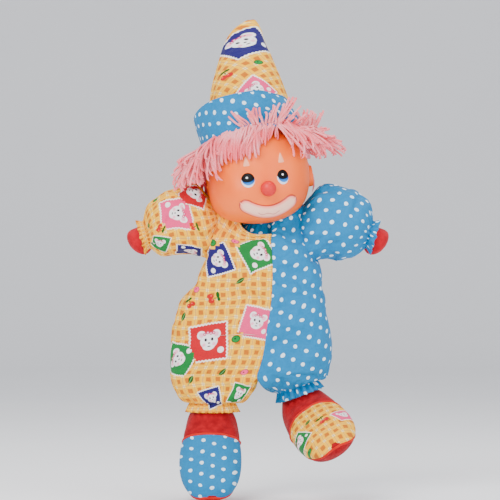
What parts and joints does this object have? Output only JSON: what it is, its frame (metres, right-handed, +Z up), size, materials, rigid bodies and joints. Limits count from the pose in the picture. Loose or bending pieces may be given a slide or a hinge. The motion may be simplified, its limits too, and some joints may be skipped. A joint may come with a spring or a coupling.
{
  "type": "hand puppet",
  "caption": "Clown hand puppet with a hollow vinyl head, pointed hat, yarn hair, puffed sleeves, stuffed hanging legs and a hand opening in the back.",
  "frame": {"origin": "centre of the hand opening on the back of the suit", "axes": "+Z up towards the hat, the face looks along -Y, the puppet's own left is +X"},
  "size_m": [0.2368, 0.1148, 0.4226],
  "materials": {
    "gingham_cloth": "printed cotton, yellow and orange gingham",
    "dotted_cloth": "printed cotton, turquoise with white dots",
    "red_jersey": "brushed red jersey",
    "lining_cloth": "plain cotton and polyester padding",
    "yarn": "soft pink yarn",
    "vinyl": "soft moulded vinyl with a satin skin",
    "painted_vinyl": "painted vinyl",
    "nose_plastic": "glossy red plastic",
    "eye_plastic": "glossy black plastic with a painted white",
    "tube_card": "rolled card",
    "elastic": "sewn elastic and cord"
  },
  "bodies": {
    "torso": {"torso_front_right": "gingham_cloth", "torso_back_right": "gingham_cloth", "torso_front_left": "dotted_cloth", "torso_back_left": "dotted_cloth", "opening_hem": "dotted_cloth", "seat_panel": "lining_cloth", "collar": "gingham_cloth"},
    "neck": {"neck_sleeve": "gingham_cloth", "neck_cord": "elastic"},
    "head": {"head_shell": "vinyl", "finger_tube": "tube_card", "nose": "nose_plastic", "eye_right": "eye_plastic", "eye_left": "eye_plastic", "mouth": "painted_vinyl", "hat_cone": "gingham_cloth", "hat_brim": "dotted_cloth", "hat_stuffing": "lining_cloth", "hair_fringe": "yarn", "hair_right": "yarn", "hair_left": "yarn", "hair_back": "yarn"},
    "arm_right": {"sleeve_right": "gingham_cloth", "wrist_elastic_right": "elastic"},
    "hand_right": {"mitten_right": "red_jersey", "hand_stuffing_right": "lining_cloth"},
    "leg_right": {"trouser_right": "gingham_cloth", "leg_stuffing_right": "lining_cloth", "ankle_elastic_right": "elastic", "frill_right": "gingham_cloth"},
    "foot_right": {"sock_right": "red_jersey", "toe_cap_right": "dotted_cloth", "sole_right": "red_jersey", "foot_stuffing_right": "lining_cloth"},
    "arm_left": {"sleeve_left": "dotted_cloth", "wrist_elastic_left": "elastic"},
    "hand_left": {"mitten_left": "red_jersey", "hand_stuffing_left": "lining_cloth"},
    "leg_left": {"trouser_left": "dotted_cloth", "leg_stuffing_left": "lining_cloth", "ankle_elastic_left": "elastic", "frill_left": "dotted_cloth"},
    "foot_left": {"sock_left": "red_jersey", "toe_cap_left": "gingham_cloth", "sole_left": "red_jersey", "foot_stuffing_left": "lining_cloth"}
  },
  "joints": [
    {"name": "neck_nod", "type": "hinge", "parent": "torso", "child": "neck", "pos_m": [0.005, -0.044, 0.072], "axis": [0.9936, 0, 0.1132], "range_deg": [-10, 12], "stiffness_Nm_per_rad": 0.6},
    {"name": "head_turn", "type": "hinge", "parent": "neck", "child": "head", "pos_m": [0.005, -0.044, 0.072], "axis": [-0.1132, 0, 0.9936], "range_deg": [-40, 40]},
    {"name": "shoulder_right", "type": "hinge", "parent": "torso", "child": "arm_right", "pos_m": [-0.072, -0.044, 0.071], "axis": [0, 1, 0], "range_deg": [-35, 50], "stiffness_Nm_per_rad": 0.06},
    {"name": "shoulder_left", "type": "hinge", "parent": "torso", "child": "arm_left", "pos_m": [0.072, -0.044, 0.071], "axis": [0, -1, 0], "range_deg": [-35, 50], "stiffness_Nm_per_rad": 0.06},
    {"name": "wrist_right", "type": "hinge", "parent": "arm_right", "child": "hand_right", "pos_m": [-0.10042, -0.044, 0.06129], "axis": [0, 0, 1], "range_deg": [-3, 30], "stiffness_Nm_per_rad": 0.03},
    {"name": "wrist_left", "type": "hinge", "parent": "arm_left", "child": "hand_left", "pos_m": [0.10042, -0.044, 0.06129], "axis": [0, 0, -1], "range_deg": [-3, 30], "stiffness_Nm_per_rad": 0.03},
    {"name": "hip_right", "type": "hinge", "parent": "torso", "child": "leg_right", "pos_m": [-0.0401, -0.044, -0.058], "axis": [-1, 0, 0], "range_deg": [-20, 70]},
    {"name": "hip_left", "type": "hinge", "parent": "torso", "child": "leg_left", "pos_m": [0.0311, -0.044, -0.058], "axis": [-1, 0, 0], "range_deg": [-20, 70]},
    {"name": "ankle_right", "type": "hinge", "parent": "leg_right", "child": "foot_right", "pos_m": [-0.0411, -0.044, -0.099], "axis": [-1, 0, 0], "range_deg": [-28, 28], "stiffness_Nm_per_rad": 0.12},
    {"name": "ankle_left", "type": "hinge", "parent": "leg_left", "child": "foot_left", "pos_m": [0.04018, -0.044, -0.08996], "axis": [-0.848, 0, -0.5299], "range_deg": [-28, 1], "stiffness_Nm_per_rad": 0.12}
  ]
}
